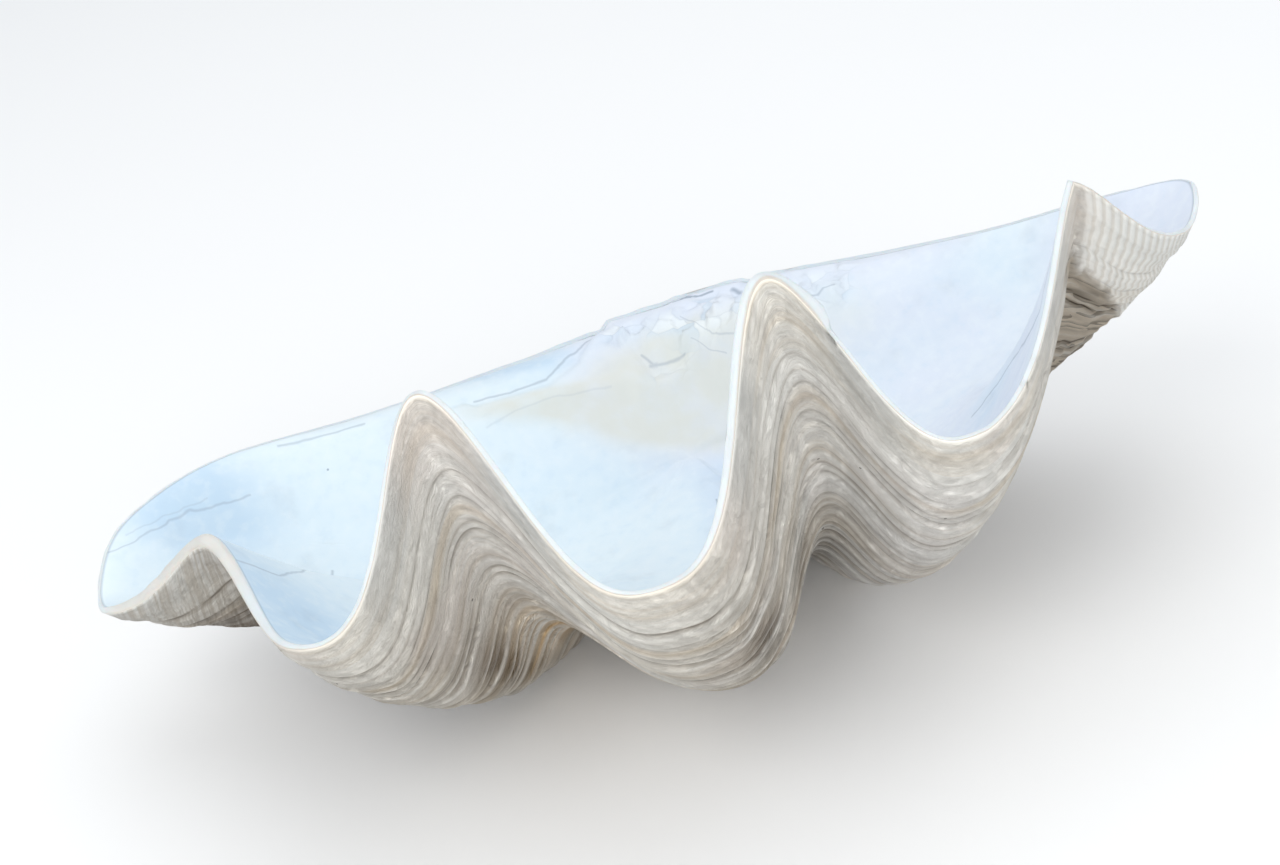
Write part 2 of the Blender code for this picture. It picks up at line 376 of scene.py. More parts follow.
@dataclass
class GrownOutside:
    """The outside: growth ledges, finer steps between them and soft lumps."""

    fold_power: float = 1.15
    ledges: int = 11
    oldest_ledge: float = 0.30
    ledge_height: float = 3.0 * MM
    ledge_run: float = 0.005
    first_tone: float = 0.6
    steps_a_ledge: tuple[int, ...] = (4, 5, 4, 4, 4, 4, 3, 2, 2, 2, 2)
    step_height: float = 1.7 * MM
    step_wander: float = 0.007
    wobble: float = 0.0022
    # Above 0 this table darkens the outside further back from the rim, a painted shade with some brown
    # staining; below 0 it paints light where the folds shade the outside.
    shading_at: tuple[float, ...] = (
        0, 1, 2.6, 3.0, 3.45, 3.75, 4.0, 4.3, 4.8, 5.3, 5.65, 5.9, 6.2, 6.6, 7.1, 7.4, 7.8, 8.0, 10, 20,
    )
    shading_by: tuple[float, ...] = (
        0.5, 0.6, 0.7, 0.8, 0.6, -0.2, -0.6, -0.3, 0.4, 1.0, 0.5, -0.4, -0.6, -0.9, -0.3, 0.35, 0.6, 0.6,
        0.5, 0.5,
    )
    riblet_stations: tuple[float, float] = (8, 9.3)
    riblet_spacing: tuple[float, float] = (0.0125, 0.0062)
    worn_station: float = 7.95
    worn_from: float = 0.030
    worn_later: float = 0.040
    worn_drop: float = 3.0 * MM
    scales: Spot = Spot(3.87, 0.34, 0.165, 0.042)
    # Spots of painted shade: dark crescents under the ribs.
    shades: tuple[Spot, ...] = (
        Spot(3.57, 0.17, 0.145, 0.05, 1.4),
        Spot(5.33, 0.17, 0.088, 0.026, 1.0),
        Spot(5.72, 0.14, 0.125, 0.03, 0.9),
    )
    lump_height: float = 1.2 * MM
    tip_ages: tuple[float, ...] = (0.25, 0.20, 0.15, 0.10, 0.05)
    tip_tone: float = 0.5
    reach: float = 0.5

    def rows(self) -> np.ndarray:
        """Sets two rows at every edge, one on each side of it.

        Between ledges and between steps the surface falls evenly from the older edge to the next.

        Returns:
            A line for each row, from the rim to the umbo: its age, how far it stands out by the
            ledge and by the step, how much it is the crest of an edge, which the finish paints with a
            highlight, how much it is the foot below one, which the finish paints with a shadow, and
            the tone of the growth between two edges.
        """
        edges = np.linspace(1.0, self.oldest_ledge, self.ledges + 1)
        draw = np.random.default_rng(4)
        tone = self.first_tone
        rows = [(1.0, 0.0, 0.0, 0.0, 0.0, tone)]
        for top, low, count in zip(edges[:-1], edges[1:], self.steps_a_ledge):
            cuts = (np.arange(1, count) + draw.uniform(-0.25, 0.25, count - 1)) / count
            for index, cut in enumerate((*cuts, 1.0)):
                age, strength = top + (low - top) * cut, draw.uniform(0.35, 1.0)
                ledge, step, line_and_shadow = (1.0, 0.0, 1.0) if index == count - 1 else (1 - cut, strength, strength)
                rows.append((age + self.ledge_run / 2, 1 - cut, 0.0, 0.0, line_and_shadow, tone))
                tone = draw.uniform(0, 1)
                rows.append((age - self.ledge_run / 2, ledge, step, line_and_shadow, 0.0, tone))
        rows.extend((age, 0.0, 0.0, 0.0, 0.0, self.tip_tone) for age in self.tip_ages)
        return np.array(rows)

    def skin(self, growth: Growth, rim: Rim) -> Skin:
        """Builds the outside from the rim back to the umbo.

        Each row's age wanders a little along the rim, so that the edges run uneven, and the steps
        fade in and out. On the last rib the part further back than worn_from, and than worn_later
        more for each station after worn_station, is worn and lies lower. The steps are tall at the
        scales, deep in the second furrow. The phase of the riblets is the way along the rim over
        their spacing, summed from column to column.

        Args:
            growth: how earlier rims lie.
            rim: the present rim.

        Returns:
            The outside, its first row on the rim.
        """
        ages, ledge, step, crest, foot, band = self.rows().T[:, :, None]
        free = np.clip(np.minimum(1 - ages, ages - min(self.tip_ages)) / 0.1, 0, 1)
        plan = np.stack(np.broadcast_arrays(rim.place[:, 0], rim.place[:, 1], ages * 0.4), axis=2)
        age = ages + (self.step_wander * ripple(plan, 0.09, 7) + self.wobble * ripple(plan, 0.028, 8)) * free
        grown, station = (1 - age) * self.reach, rim.station
        below = grown - self.worn_from - self.worn_later * (station - self.worn_station)
        below = below + 0.006 * ripple(plan, 0.04, 13) + 0.004 * ripple(plan, 0.016, 14)
        riblets = rise_between(station, 8.0, 8.15) * rise_between(station, 9.5, 9.1)
        riblets = riblets * rise_between(below, 0.003, -0.004)
        worn = rise_between(station, 7.82, 7.98) * rise_between(station, 9.8, 9.2)
        worn = worn * rise_between(below, -0.003, 0.003)
        scales = self.scales.over(station, grown)
        spacing = np.interp(rim.station, self.riblet_stations, self.riblet_spacing)
        phase = np.cumsum(np.diff(rim.along, prepend=0.0) / spacing)
        # Painted shade with some staining, and painted light, by station along the rim.
        shading = np.interp(rim.station, self.shading_at, self.shading_by)
        # Darker further back from the rim: a painted shade of the lower parts, with some brown staining.
        soil = np.clip(shading, 0, 1) * rise_between(grown, -0.03, 0.06)
        # Painted light: the outside made paler where the folds shade it.
        bleached = np.clip(-shading, 0, 1) * rise_between(grown, 0.005, 0.05)
        points = growth.rows(rim, rim.place, age, rim.turns, self.fold_power)
        tall = np.clip(0.7 + 0.6 * ripple(plan, 0.13, 21), 0.15, 1.3) + 2.2 * scales + 1.1 * soil
        stand = ledge * rim.front**3 * self.ledge_height
        stand = stand + step * rim.front**2 * self.step_height * tall
        stand = stand + ripple(points, 0.06, 3) * self.lump_height * free * rim.front
        stand = stand + ripple(points, 0.020, 9) * self.lump_height * worn - worn * self.worn_drop
        points = points - growth.normals(points) * stand[:, :, None]
        fold = np.clip(rim.folds / 0.06, -1, 1)
        # Painted shade: darker further back from the rim under the overhang of the folds, and in the shade
        # spots.
        sheltered = rise_between(grown, 0.09, 0.21) * np.clip(0.3 + 0.9 * fold * age**0.4, 0, 1)
        for shade in self.shades:
            sheltered = np.maximum(sheltered, shade.over(station, grown))
        arch = rise_between(station, 1.0, 1.3) * rise_between(station, 2.9, 2.5)
        values = {
            "grown": grown, "crest": crest, "foot": foot, "band": band, "fold": fold, "phase": phase,
            "arch": arch, "riblets": riblets, "worn": worn, "scales": scales, "soil": soil,
            "bleached": bleached, "sheltered": sheltered,
        }
        return Skin(points, values)


@dataclass
class RimEdge:
    """The rounded edge between the two faces, from thin in the troughs to broad on the arches."""

    stations: tuple[float, ...] = (
        0, 1, 1.6, 2, 2.45, 3, 3.8, 4, 4.35, 5, 5.5, 5.9, 6.1, 6.235, 6.27, 7, 7.6, 8, 9, 10, 12, 15, 18, 20,
    )
    widths: tuple[float, ...] = (
        4, 4.5, 9, 9.5, 7, 3.2, 3.2, 4.0, 3.6, 2.8, 4.8, 6.4, 9, 10.5, 3.2, 2.8, 3.6, 4.4, 3.2, 4, 5, 5, 5, 4,
    )
    rounding: float = 1.7 * MM
    rounded_width: float = 7 * MM
    squareness: float = 0.5
    evenings: int = 60
    arcs: int = 7
    nibble: float = 0.6 * MM
    chips: tuple[tuple[float, float, float], ...] = (
        (6.27, 0.03, 3.0), (7.32, 0.02, 1.6), (7.42, 0.015, 1.2), (5.62, 0.02, 1.5),
        (14.3, 0.12, 3.0), (13.6, 0.05, 2.4), (15.6, 0.06, 2.0),
    )

    def inner(self, growth: Growth, rim: Rim, fold_power: float) -> tuple[np.ndarray, np.ndarray]:
        """Where the hollow begins: the rim carried its width along its evened-out normal.

        Args:
            growth: how earlier rims lie.
            rim: the present rim.
            fold_power: of the outside.

        Returns:
            The inner edge, and the unit direction in which the rim grows.
        """
        near = growth.rows(rim, rim.place, np.array([[1.0], [0.985], [0.97]]), rim.turns, fold_power)
        normal = growth.normals(near)[0]
        for _ in range(self.evenings):
            normal = np.roll(normal, 1, axis=0) + 2 * normal + np.roll(normal, -1, axis=0)
            normal /= np.linalg.norm(normal, axis=1, keepdims=True)
        outward = near[0] - near[1]
        outward /= np.linalg.norm(outward, axis=1, keepdims=True)
        width = np.interp(rim.station, self.stations, self.widths) * MM
        return rim.place + normal * width[:, None], outward

    def skin(self, rim: Rim, inner: np.ndarray, outward: np.ndarray) -> Skin:
        """A squared half ellipse from the outer edge over a low crest to the inner one.

        Its two parts are the cosine and sine of the angle, each to the power squareness. A chip
        takes a bell of its depth off the crest.

        Args:
            rim: the present rim.
            inner: the inner edge.
            outward: the direction in which the rim grows.

        Returns:
            The edge, without its first and last line, which belong to its neighbours.
        """
        angle = (np.arange(1, self.arcs) / self.arcs * np.pi)[:, None, None]
        middle, half = (rim.place + inner) / 2, (rim.place - inner) / 2
        width = np.linalg.norm(half, axis=1) * 2
        rounding = self.rounding * width / self.rounded_width + self.nibble * ripple(rim.place, 0.02, 11)
        for place, reach, depth in self.chips:
            rounding = rounding - depth * MM * np.exp(-(((rim.station - place) / reach) ** 2))
        cosine = np.sign(np.cos(angle)) * np.abs(np.cos(angle)) ** self.squareness
        points = middle + cosine * half + np.sin(angle) ** self.squareness * outward * rounding[:, None]
        arch = rise_between(rim.station, 0.9, 1.2) * rise_between(rim.station, 2.5, 2.2)
        return Skin(points, {"across": angle[:, :, 0] / np.pi, "arch": arch, "back": 1 - rim.front})


@dataclass(frozen=True)
class Crease:
    """A sunk line on the inside, or a raised one where depth is below 0.

    path runs in plan, in mm in the frame of the rim; width and depth are in mm, and step raises the
    side to the left of the path.
    """

    path: tuple[tuple[float, float], ...]
    width: float
    depth: float
    step: float = 0.0

    def lift(self, plan: np.ndarray) -> np.ndarray:
        """How far it lifts each place: a bell over the distance from the line, and the step beside it.

        Args:
            plan: places in plan, in metres.

        Returns:
            The lift in metres.
        """
        line = np.array(self.path) * MM
        nearest = np.full(plan.shape[:2], np.inf)
        side = np.zeros(plan.shape[:2])
        for start, end in zip(line[:-1], line[1:]):
            way = end - start
            share = np.clip(((plan - start) @ way) / (way @ way), 0, 1)
            apart = plan - (start + share[:, :, None] * way)
            distance = np.hypot(apart[:, :, 0], apart[:, :, 1])
            left = np.sign(way[0] * apart[:, :, 1] - way[1] * apart[:, :, 0])
            side = np.where(distance < nearest, left * distance, side)
            nearest = np.minimum(nearest, distance)
        width = self.width * MM
        bell = np.exp(-((nearest / width) ** 2))
        beside = rise_between(side, -width, width) * np.exp(-nearest / (5 * width))
        return (beside * self.step - bell * self.depth) * MM


@dataclass(frozen=True)
class Facets:
    """A patch broken into small flat facets, as where flakes of the hinge plate came off."""

    middle: tuple[float, float]
    spread: tuple[float, float]
    depth: float
    cells: int
    seed: int
    steepness: float = 0.22

    def lift(self, plan: np.ndarray) -> np.ndarray:
        """The level of the nearest of some random points plus a slope of its own, faded to the sides.

        Args:
            plan: places in plan, in metres.

        Returns:
            The lift in metres.
        """
        draw = np.random.default_rng(self.seed)
        seeds = (np.array(self.middle) + draw.uniform(-1.2, 1.2, (self.cells, 2)) * self.spread) * MM
        apart = plan[:, :, None, :] - seeds
        nearest = np.argmin((apart**2).sum(axis=3), axis=2)
        own = np.take_along_axis(apart, nearest[:, :, None, None], axis=2)[:, :, 0]
        level = draw.uniform(-1, 1, self.cells)[nearest] * self.depth * MM
        slope = draw.normal(size=(self.cells, 2))[nearest] * self.steepness
        away = (plan / MM - self.middle) / self.spread
        return (level + (own * slope).sum(axis=2)) * np.exp(-((away**2).sum(axis=2)) ** 2)


@dataclass(frozen=True)
class Patch:
    """A soft patch of one tone on the inside, in mm in plan."""

    middle: tuple[float, float]
    spread: tuple[float, float]
    amount: float = 1.0

    def over(self, plan: np.ndarray) -> np.ndarray:
        """A bell in plan, for places in mm."""
        away = (plan - self.middle) / self.spread
        return self.amount * np.exp(-(away**2).sum(axis=2))


CREASES = (
    Crease(((-378, -120), (-344, -105), (-298, -88), (-262, -82)), 5, 2.4, 1.4),
    Crease(((-262, -262), (-246, -228), (-240, -170), (-234, -104)), 9, 0.8, 1.8),
    Crease(((269, -284), (258, -276), (244, -217), (213, -194), (200, -178)), 5, 1.4, -1.8),
    Crease(((-8, 0), (-30, -31), (-54, -42), (-108, -50)), 5, 4.2, 3.0),
    Crease(((-125, -72), (-103, -67), (-78, -60), (-47, -53), (-11, -50), (10, -50)), 5, -3.0),
    Crease(((14, -33), (23, -46), (44, -47)), 5, 5.0),
    Crease(((8, -56), (30, -57), (56, -50)), 5, -4.6),
    Crease(((90, -49), (140, -44), (180, -36)), 6, -2.4),
    Crease(((70, -8), (96, -18), (120, -20), (170, -24)), 5, 3.0, 2.0),
)
FACETS = (
    Facets((66, -28), (30, 18), 2.4, 15, 5),
    Facets((150, -30), (40, 14), 2.0, 14, 8),
    Facets((10, -22), (24, 12), 1.6, 9, 2),
)
PATCHES = {
    "warm": (
        Patch((40, -48), (66, 22)), Patch((-50, -58), (70, 9), 0.9), Patch((70, -82), (55, 18), 0.6),
        Patch((160, -50), (45, 20), 0.35), Patch((8, -70), (50, 14), 0.7),
    ),
    "cool": (
        Patch((-330, -86), (60, 20)), Patch((-235, -300), (55, 62), 0.9), Patch((-170, -150), (40, 60), 0.5),
        Patch((52, -170), (26, 110), 0.7), Patch((-60, -300), (50, 60), 0.6), Patch((215, -230), (45, 60), 0.6),
        Patch((390, -140), (30, 30), 0.8), Patch((-50, -20), (60, 10), 0.8), Patch((95, -14), (40, 8), 0.8),
    ),
    "chipped": (
        Patch((70, -28), (34, 18)), Patch((150, -30), (46, 16), 0.8), Patch((10, -20), (26, 12), 0.8),
        Patch((30, -52), (26, 8), 0.6),
    ),
}


@dataclass
class Hollow:
    """The inside: it leaves the rim with the folds and settles to a smooth bowl."""

    fold_power: float = 2.2
    turn_share: float = 0.57
    bottom: Triple = (30, -88, -88)
    rows: int = 53
    last_age: float = 0.03
    crowding: float = 1.15
    hinge_rise: float = 35 * MM
    tooth_place: tuple[float, float] = (75, -42)
    tooth_spread: tuple[float, float] = (45, 11)
    tooth_height: float = 7 * MM
    lump_height: float = 0.9 * MM
    reach: float = 0.5
    creases: tuple[Crease, ...] = CREASES
    facets: tuple[Facets, ...] = FACETS

    def skin(self, growth: Growth, rim: Rim, inner: np.ndarray) -> Skin:
        """Builds the hollow from the inner edge to its bottom.

        The rows are those of the growth with their pole moved to bottom. Along the hinge a shelf
        rises as a sine of the age, with a tooth that is a bell in plan.

        Args:
            growth: how earlier rims lie.
            rim: the present rim.
            inner: the inner edge.

        Returns:
            The hollow, its first row on the inner edge.
        """
        age = 1 - (1 - self.last_age) * np.linspace(0, 1, self.rows)[:, None] ** self.crowding
        settle = (1 - rim.front) * (1 - age) + rim.front * (1 - 3 * age**2 + 2 * age**3)
        pull = settle[:, :, None] * (np.array(self.bottom) - np.array(growth.umbo)) * MM
        turns = rim.turns * self.turn_share * rim.front
        points = growth.rows(rim, inner, age, turns, self.fold_power) + pull
        shelf = np.clip(1 - 2 * rim.front, 0, 1) * self.hinge_rise * np.sin(np.pi * age) * age
        away = (points[:, :, :2] / MM - self.tooth_place) / self.tooth_spread
        tooth = self.tooth_height * np.exp(-(away**2).sum(axis=2))
        inward = np.clip((1 - age) / 0.12, 0, 1)
        lumps = ripple(points, 0.11, 5) * self.lump_height * inward
        plan = points[:, :, :2].copy()
        marks = sum((mark.lift(plan) for mark in (*self.creases, *self.facets)), np.zeros(shelf.shape))
        points[:, :, 2] += shelf + tooth + lumps + marks * np.clip((1 - age) / 0.04, 0, 1)
        tones = {name: sum(patch.over(plan / MM) for patch in patches) for name, patches in PATCHES.items()}
        return Skin(points, {"across": 1.0, "grown": (1 - age) * self.reach, **tones})


@dataclass(frozen=True)
class Wire:
    """A value in a node tree; sums, products and steps of it add the nodes that work them out."""

    graph: "Graph"
    socket: bpy.types.NodeSocket

    def __add__(self, other: "Feed") -> "Wire":
        """The sum with another value."""
        return self.graph.math("ADD", self, other)

    def __sub__(self, other: "Feed") -> "Wire":
        """The difference from another value."""
        return self.graph.math("SUBTRACT", self, other)

    def __mul__(self, other: "Feed") -> "Wire":
        """The product with another value."""
        return self.graph.math("MULTIPLY", self, other)

    def __truediv__(self, other: "Feed") -> "Wire":
        """The quotient by another value."""
        return self.graph.math("DIVIDE", self, other)

    def step(self, low: float, high: float, at_low: float = 0.0, at_high: float = 1.0) -> "Wire":
        """A soft step as the value goes from low to high, or from high down to low.

        Args:
            low, high: where the step begins and ends.
            at_low, at_high: what it gives there.

        Returns:
            The step.
        """
        if low > high:
            low, high, at_low, at_high = high, low, at_high, at_low
        limits = {"From Min": low, "From Max": high, "To Min": at_low, "To Max": at_high}
        return self.graph.wire("MapRange", {"Value": self, **limits}, interpolation_type="SMOOTHSTEP")


Feed = Wire | float | tuple[float, ...]


@dataclass(frozen=True)
class Waves:
    """Cloudy noise: waves to a metre, octaves, waves to a metre of a further way, and its shaking."""

    scale: Feed
    octaves: float = 2.0
    along: float = 0.0
    shaken: float = 0.0


class Graph:
    """Short calls for wiring one node tree."""

    def __init__(self, tree: bpy.types.NodeTree) -> None:
        """Keeps the tree."""
        self.tree = tree

    def plug(self, socket: bpy.types.NodeSocket, value: Feed) -> None:
        """Links a wire to a socket, or sets a number, vector or colour on it.

        Args:
            socket: where it goes.
            value: what goes there.
        """
        if isinstance(value, Wire):
            self.tree.links.new(value.socket, socket)
        else:
            socket.default_value = value

    def node(self, kind: str, plugs: dict[int | str, Feed], **settings: object) -> bpy.types.Node:
        """Adds a node.

        Args:
            kind: its type, without the ShaderNode in front.
            plugs: what goes into its sockets, by number or name.
            settings: its own settings, made before its sockets are filled.

        Returns:
            The node.
        """
        made = self.tree.nodes.new("ShaderNode" + kind)
        for name, value in settings.items():
            setattr(made, name, value)
        for name, value in plugs.items():
            self.plug(made.inputs[name], value)
        return made

    def wire(self, kind: str, plugs: dict[int | str, Feed], output: int | str = 0, **settings: object) -> Wire:
        """Adds a node, as node does, and gives one of its outputs."""
        return Wire(self, self.node(kind, plugs, **settings).outputs[output])

    def group(self, tree: bpy.types.NodeTree, **plugs: Feed) -> dict[str, Wire]:
        """Places a shared group with its own values and gives its outputs by name."""
        return {out.name: Wire(self, out) for out in self.node("Group", plugs, node_tree=tree).outputs}

    def math(self, operation: str, first: Feed, second: Feed = 0.0) -> Wire:
        """A Math node on two values."""
        return self.wire("Math", {0: first, 1: second}, operation=operation)

    def vector(self, operation: str, first: Feed, second: Feed, output: int | str = 0) -> Wire:
        """A Vector Math node on two vectors."""
        return self.wire("VectorMath", {0: first, 1: second}, output, operation=operation)

    def place(self) -> Wire:
        """The place on the piece, in metres."""
        return self.wire("TexCoord", {}, "Object")

    def read(self, attribute: str) -> Wire:
        """A value that the mesh carries."""
        return self.wire("Attribute", {}, "Fac", attribute_name=attribute)

    def noise(self, place: Wire, waves: Waves, way: Wire | None = None, shake: Wire | None = None) -> Wire:
        """Cloudy noise over a place, and over a further way where one is given.

        Args:
            place: where.
            waves: its sizes.
            way: the further way, in metres.
            shake: what shakes that way.

        Returns:
            The noise, mostly between 0.3 and 0.7.
        """
        plugs = {"Vector": place, "Scale": waves.scale, "Detail": waves.octaves}
        if way is None:
            return self.wire("TexNoise", plugs)
        turn = way * waves.along if shake is None else way * waves.along + shake * waves.shaken
        return self.wire("TexNoise", {**plugs, "W": turn}, noise_dimensions="4D")

    def layers(self, first: Feed, *others: tuple[Feed, Feed]) -> Feed:
        """Colours laid one over another.

        Args:
            first: the lowest colour.
            others: the share that each next colour covers, and the colour.

        Returns:
            The colour on top.
        """
        colour = first
        for share, tone in others:
            colour = self.wire("Mix", {0: share, 6: colour, 7: tone}, 2, data_type="RGBA")
        return colour


Given = dict[str, Wire]


def shared_group(
    name: str, takes: dict[str, str], gives: tuple[str, ...], work: Callable[[Graph, Given], Given]
) -> bpy.types.NodeTree:
    """Makes a shader group that finishes place with values of their own.

    Args:
        name: its name.
        takes: its inputs and their kinds.
        gives: its outputs, all of them numbers.
        work: works out the outputs from the inputs, both by name.

    Returns:
        The group.
    """
    tree = bpy.data.node_groups.new(name, "ShaderNodeTree")
    for label, kind in takes.items():
        tree.interface.new_socket(label, in_out="INPUT", socket_type="NodeSocket" + kind)
    for label in gives:
        tree.interface.new_socket(label, in_out="OUTPUT", socket_type="NodeSocketFloat")
    g, source, sink = Graph(tree), tree.nodes.new("NodeGroupInput"), tree.nodes.new("NodeGroupOutput")
    for label, result in work(g, {label: Wire(g, source.outputs[label]) for label in takes}).items():
        g.plug(sink.inputs[label], result)
    return tree


def terraces(g: Graph, given: Given) -> Given:
    """Growth terraces: the way back from the rim is cut into uneven steps that follow it.

    The way, divided by the spacing and shifted by slow noise over the place, counts the steps. What
    is left over the whole count falls from 1 to 0 on each step and is its height, the count picks
    its tone, and the last part of each step is its painted shadow line.

    Args:
        g: the group's graph.
        given: Place, Way, Spacing, Wander and Wave.

    Returns:
        Height, Tone and ShadowLine, a painted shadow line where each step ends.
    """
    slow = g.noise(given["Place"], Waves(given["Wave"], 2.0, 14.0), given["Way"])
    count = given["Way"] / given["Spacing"] + (slow - 0.5) * given["Wander"]
    left_over = g.math("FRACT", count)
    tone = g.wire("TexWhiteNoise", {"W": g.math("FLOOR", count)}, noise_dimensions="1D")
    return {"Height": g.math("SUBTRACT", 1.0, left_over), "Tone": tone, "ShadowLine": left_over.step(0.74, 0.98)}


def flecks(g: Graph, given: Given) -> Given:
    """Small scattered flecks: the places nearer than a size to one in five of many random points.

    Args:
        g: the group's graph.
        given: Place, Density and Size.

    Returns:
        Fleck.
    """
    cells = g.node("TexVoronoi", {"Vector": given["Place"], "Scale": given["Density"]}).outputs
    chance = g.wire("SeparateColor", {"Color": Wire(g, cells["Color"])})
    near = g.math("LESS_THAN", Wire(g, cells["Distance"]), given["Size"])
    return {"Fleck": near * g.math("GREATER_THAN", chance, 0.8)}


def hairline(g: Graph, given: Given) -> Given:
    """A thin line between two places: 1 on it, falling to 0 at the width.

    The share of the way to which a place belongs is the product of its offset and the way over the
    way times itself, kept in 0 to 1, and the line is the distance from that point.

    Args:
        g: the group's graph.
        given: Place, Start, Way and Width.

    Returns:
        Mask.
    """
    way, offset = given["Way"], g.vector("SUBTRACT", given["Place"], given["Start"])
    along = g.vector("DOT_PRODUCT", offset, way, "Value")
    share = g.wire("Clamp", {"Value": along / g.vector("DOT_PRODUCT", way, way, "Value")})
    on_way = g.wire("VectorMath", {0: way, "Scale": share}, operation="SCALE")
    return {"Mask": (g.vector("DISTANCE", offset, on_way, "Value") / given["Width"]).step(1.0, 0.0)}


class Effects:
    """The shared groups, each built once."""

    def __init__(self) -> None:
        """Builds them."""
        line = {"Place": "Vector", "Start": "Vector", "Way": "Vector", "Width": "Float"}
        bands = {"Place": "Vector", "Way": "Float", "Spacing": "Float", "Wander": "Float", "Wave": "Float"}
        spots = {"Place": "Vector", "Density": "Float", "Size": "Float"}
        self.terraces = shared_group("terraces", bands, ("Height", "Tone", "ShadowLine"), terraces)
        self.flecks = shared_group("flecks", spots, ("Fleck",), flecks)
        self.hairline = shared_group("hairline", line, ("Mask",), hairline)


@dataclass(frozen=True)
class Look:
    """What a finish shows: its colour and roughness, and the height, in metres, of its relief."""

    colour: Feed
    roughness: Feed
    height: Wire | None = None


@dataclass(frozen=True)
class Finish(ABC):
    """A finish: pattern works out its look, relief is the strength of its bump, and sockets are the
    fixed values of its shader.
    """

    name: ClassVar[str]
    relief: ClassVar[float] = 0.6
    sockets: ClassVar[dict[str, float]] = {}

    @abstractmethod
    def pattern(self, g: Graph, effects: Effects) -> Look:
        """Works out the look."""

    def material(self, effects: Effects) -> bpy.types.Material:
        """Makes the material.

        Args:
            effects: the shared groups.

        Returns:
            The material.
        """
        material = bpy.data.materials.new(self.name)
        material.use_nodes = True
        g, inputs = Graph(material.node_tree), material.node_tree.nodes["Principled BSDF"].inputs
        look = self.pattern(g, effects)
        g.plug(inputs["Base Color"], look.colour)
        g.plug(inputs["Roughness"], look.roughness)
        if look.height is not None:
            bump = {"Height": look.height, "Strength": self.relief, "Distance": 1.0}
            g.plug(inputs["Normal"], g.wire("Bump", bump))
        for socket, value in self.sockets.items():
            inputs[socket].default_value = value
        return material


